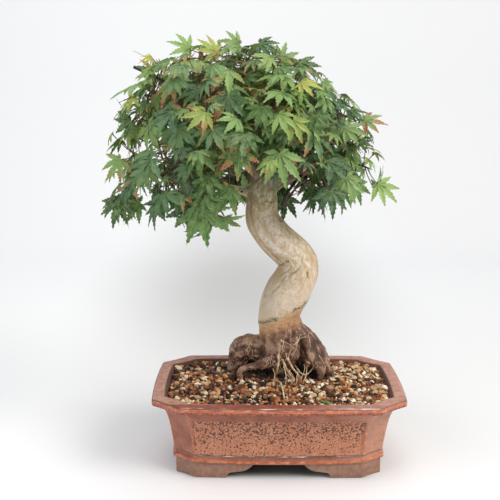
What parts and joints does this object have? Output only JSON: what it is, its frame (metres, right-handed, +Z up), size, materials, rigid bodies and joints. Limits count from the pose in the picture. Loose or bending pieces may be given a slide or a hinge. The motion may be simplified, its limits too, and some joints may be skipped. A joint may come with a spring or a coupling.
{
  "type": "japanese maple bonsai",
  "caption": "Potted Japanese maple bonsai: a bent trunk on raised roots under a dome of palmate leaves, in a rectangular footed clay pot with cut corners.",
  "frame": {"origin": "bottom centre of the whole part's bounding box, on the surface the pot's feet stand on", "axes": "+Z up, +X to the right of the bonsai's front, -Y towards the viewer who stands in front of it"},
  "size_m": [0.3162, 0.2454, 0.4603],
  "materials": {
    "pot_clay": "satin",
    "mesh_plastic": "matte",
    "soil_grains": "matte",
    "bark": "matte",
    "black_wire": "matte",
    "leaf_light": "matte",
    "leaf_dark": "matte"
  },
  "bodies": {
    "root": {"pot": "pot_clay", "drain_mesh_left": "mesh_plastic", "drain_mesh_right": "mesh_plastic", "soil": "soil_grains", "trunk": "bark", "wire_left": "black_wire", "wire_right": "black_wire", "wire_upper_left": "black_wire", "spray_left": "leaf_light", "spray_front_left": "leaf_dark", "spray_front": "leaf_light", "spray_front_right": "leaf_dark", "spray_right": "leaf_light", "spray_back_right": "leaf_dark", "spray_back": "leaf_light", "spray_back_left": "leaf_dark", "spray_upper_left": "leaf_light", "spray_upper_front_left": "leaf_dark", "spray_upper_front": "leaf_light", "spray_upper_right": "leaf_dark", "spray_upper_back_right": "leaf_light", "spray_upper_back_left": "leaf_dark", "spray_top_left": "leaf_light", "spray_top_back": "leaf_dark", "spray_top_front": "leaf_light", "spray_top": "leaf_dark"}
  },
  "joints": []
}
